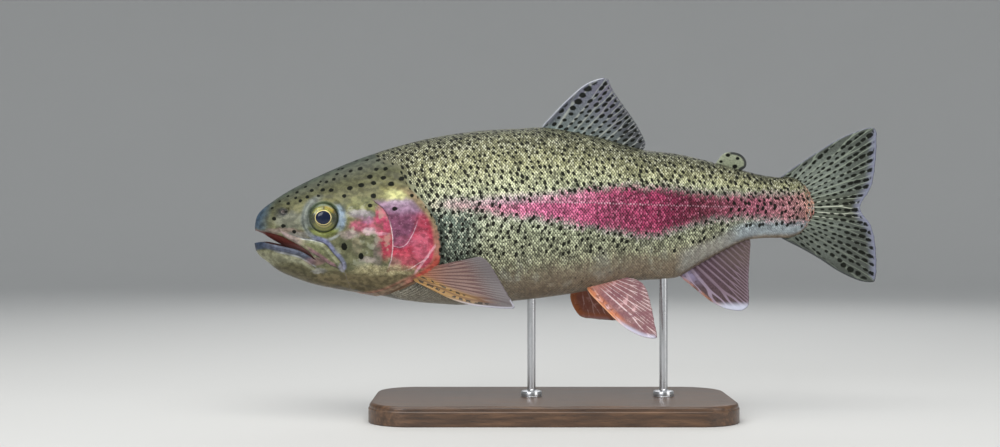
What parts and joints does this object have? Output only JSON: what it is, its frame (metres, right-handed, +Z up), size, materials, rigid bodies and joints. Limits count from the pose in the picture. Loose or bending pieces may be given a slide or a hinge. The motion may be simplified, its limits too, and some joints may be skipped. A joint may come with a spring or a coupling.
{
  "type": "rainbow trout",
  "caption": "Life-size still model of a rainbow trout swimming level, fins spread and mouth just open, held over a flat base by rods.",
  "frame": {"origin": "middle of the stand's flat underside", "axes": "+Z up; the fish faces -X and its left side faces -Y"},
  "size_m": [0.4498, 0.12, 0.2442],
  "materials": {
    "head_skin": "wet olive skin with dark spots, silver and pink on the cheek",
    "jaw_skin": "wet grey-tan skin with a blue-grey lip",
    "gill_cover_skin": "glossy crimson and purple with pale edges",
    "body_skin": "small wet scales, olive back, pink side band, pale belly, black spots",
    "upper_fin": "grey-green rayed membrane with rows of black spots",
    "lower_fin": "mauve-pink rayed membrane with a pale leading edge",
    "eye": "clear cornea over a gold iris and a blue-black pupil",
    "stand_wood": "dark walnut, satin varnish",
    "stand_metal": "brushed"
  },
  "bodies": {
    "root": {"head": "head_skin", "lower_jaw": "jaw_skin", "gill_cover_left": "gill_cover_skin", "gill_cover_right": "gill_cover_skin", "eye_left": "eye", "eye_right": "eye", "trunk": "body_skin", "tail_stem": "body_skin", "dorsal_fin": "upper_fin", "adipose_fin": "upper_fin", "caudal_fin": "upper_fin", "anal_fin": "lower_fin", "pectoral_fin_left": "lower_fin", "pectoral_fin_right": "lower_fin", "pelvic_fin_left": "lower_fin", "pelvic_fin_right": "lower_fin", "stand_base": "stand_wood", "stand_rod_front": "stand_metal", "stand_rod_rear": "stand_metal"}
  },
  "joints": []
}
